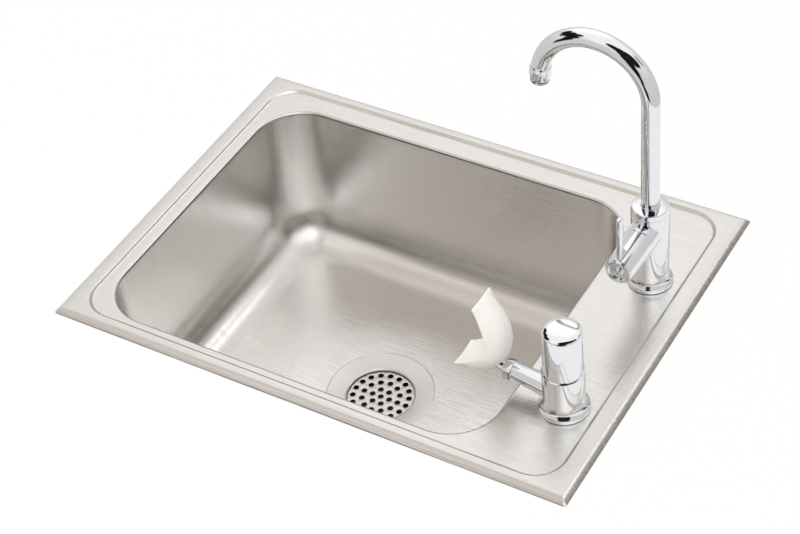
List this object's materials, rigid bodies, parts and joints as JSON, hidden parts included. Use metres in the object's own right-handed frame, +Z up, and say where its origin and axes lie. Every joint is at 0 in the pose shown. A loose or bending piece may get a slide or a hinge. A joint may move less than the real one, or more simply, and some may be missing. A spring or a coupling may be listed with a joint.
{
  "type": "drop-in sink",
  "caption": "Drop-in steel sink with a deep bowl and strainer drain, a swivelling gooseneck tap with a lever handle, and a push-button drinking bubbler with a mouth guard.",
  "frame": {"origin": "middle of the rim's outline, on the plane of the worktop that the rim rests on", "axes": "+Z up, +X along the rim's length to the ledge that carries the tap and bubbler, +Y across the rim to the back, where the tap stands"},
  "size_m": [0.559, 0.406, 0.63],
  "materials": {
    "sink_steel": "satin brushed",
    "drain_steel": "bright satin",
    "chrome": "polished",
    "zinc_steel": "plain plated",
    "brass": "machined",
    "rubber": "matt",
    "nylon": "matt",
    "spring_steel": "drawn wire and stamped sheet",
    "guard_plastic": "smooth moulded"
  },
  "bodies": {
    "sink": {"arm_nut": "chrome", "bubbler_backing_washer": "rubber", "bubbler_body": "chrome", "bubbler_cartridge": "brass", "bubbler_gasket": "rubber", "bubbler_locknut": "zinc_steel", "bubbler_shank": "brass", "bubbler_steel_washer": "zinc_steel", "clip_screws": "zinc_steel", "coupling_nut": "chrome", "drain_body": "drain_steel", "drain_gasket": "rubber", "drain_locknut": "brass", "friction_washer": "nylon", "hold_down_clips": "zinc_steel", "mounting_channels": "sink_steel", "mouth_guard": "guard_plastic", "nozzle": "chrome", "return_spring": "spring_steel", "sink_basin": "sink_steel", "spout_bonnet": "chrome", "spout_bushing": "nylon", "strainer_grid": "drain_steel", "tailpiece": "chrome", "tailpiece_washer": "rubber", "tap_backing_washer": "rubber", "tap_body": "chrome", "tap_gasket": "rubber", "tap_locknut": "zinc_steel", "tap_shank": "brass", "tap_steel_washer": "zinc_steel", "valve_cartridge": "brass", "valve_gland_nut": "brass"},
    "spout": {"gooseneck_spout": "chrome", "spout_o_rings": "rubber", "spout_snap_ring": "spring_steel", "outlet_adapter": "chrome", "outlet_shell": "chrome", "outlet_screen": "spring_steel"},
    "lever": {"lever_handle": "chrome", "valve_stem": "brass", "lever_screw": "spring_steel", "lever_cap": "chrome"},
    "button": {"push_cap": "chrome", "plunger_stem": "brass", "plunger_seal": "rubber"}
  },
  "joints": [
    {"name": "spout_swivel", "type": "hinge", "parent": "sink", "child": "spout", "pos_m": [0.226, 0.084, 0.1], "axis": [0, 0, 1], "range_deg": [-90, 90]},
    {"name": "lever_turn", "type": "hinge", "parent": "sink", "child": "lever", "pos_m": [0.226, 0.084, 0.073], "axis": [0, -1, 0], "range_deg": [0, 90]},
    {"name": "bubbler_push", "type": "slide", "parent": "sink", "child": "button", "axis": [0, 0, -1], "range_m": [0, 0.006], "stiffness_N_per_m": 1000, "springref_m": -0.008, "deforming": ["return_spring"]}
  ]
}
